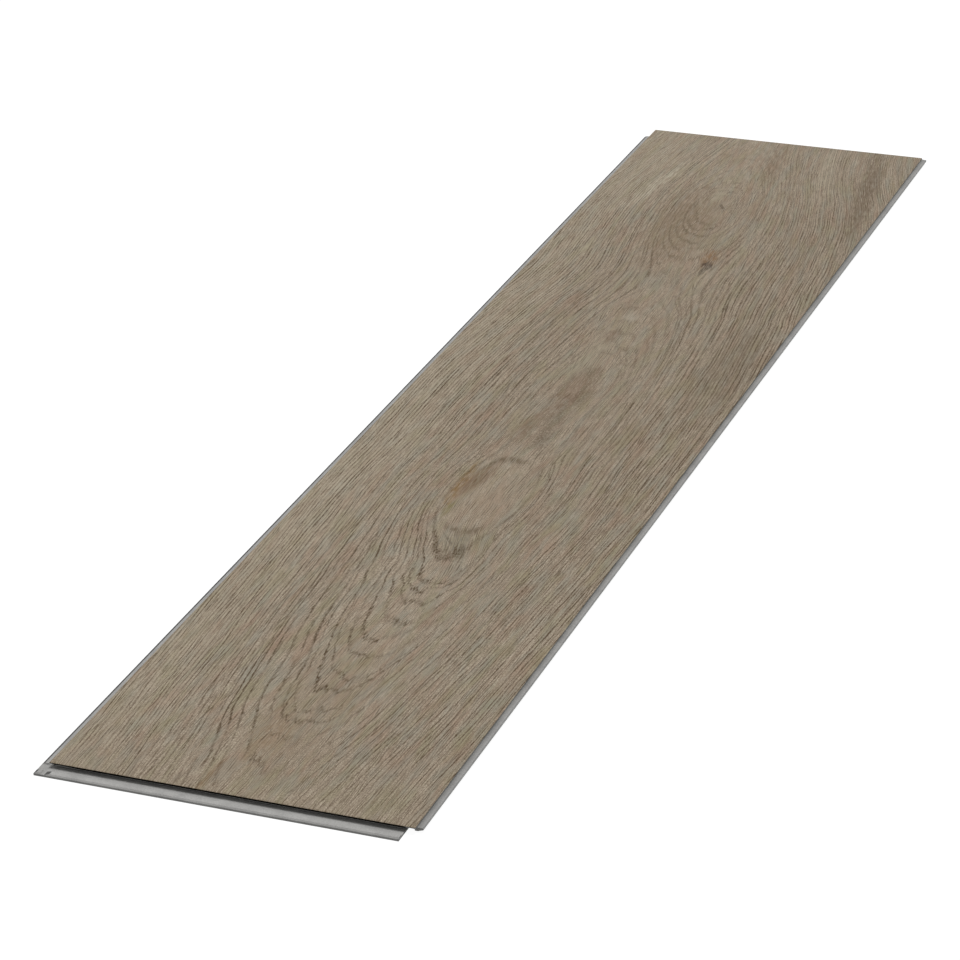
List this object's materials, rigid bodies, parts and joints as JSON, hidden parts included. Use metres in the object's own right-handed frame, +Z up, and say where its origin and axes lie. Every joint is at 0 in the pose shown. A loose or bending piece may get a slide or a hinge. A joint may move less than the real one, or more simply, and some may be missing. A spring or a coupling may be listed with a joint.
{
  "type": "click vinyl floor plank",
  "caption": "Flat square-ended floor plank of rigid vinyl with an embossed oak print on top and click-lock edges milled into its grey core.",
  "frame": {"origin": "on the underside, below the middle of the printed face", "axes": "+X across the plank towards the tongue, +Y along it from the lower lip end to the hook end, +Z up out of the printed face"},
  "size_m": [0.265, 1.2302, 0.006],
  "materials": {
    "core": "milled grey mineral-filled vinyl",
    "oak_print": "embossed greige oak print under a satin wear layer"
  },
  "bodies": {
    "root": {"rigid_core": "core", "wear_layer": "oak_print"}
  },
  "joints": []
}
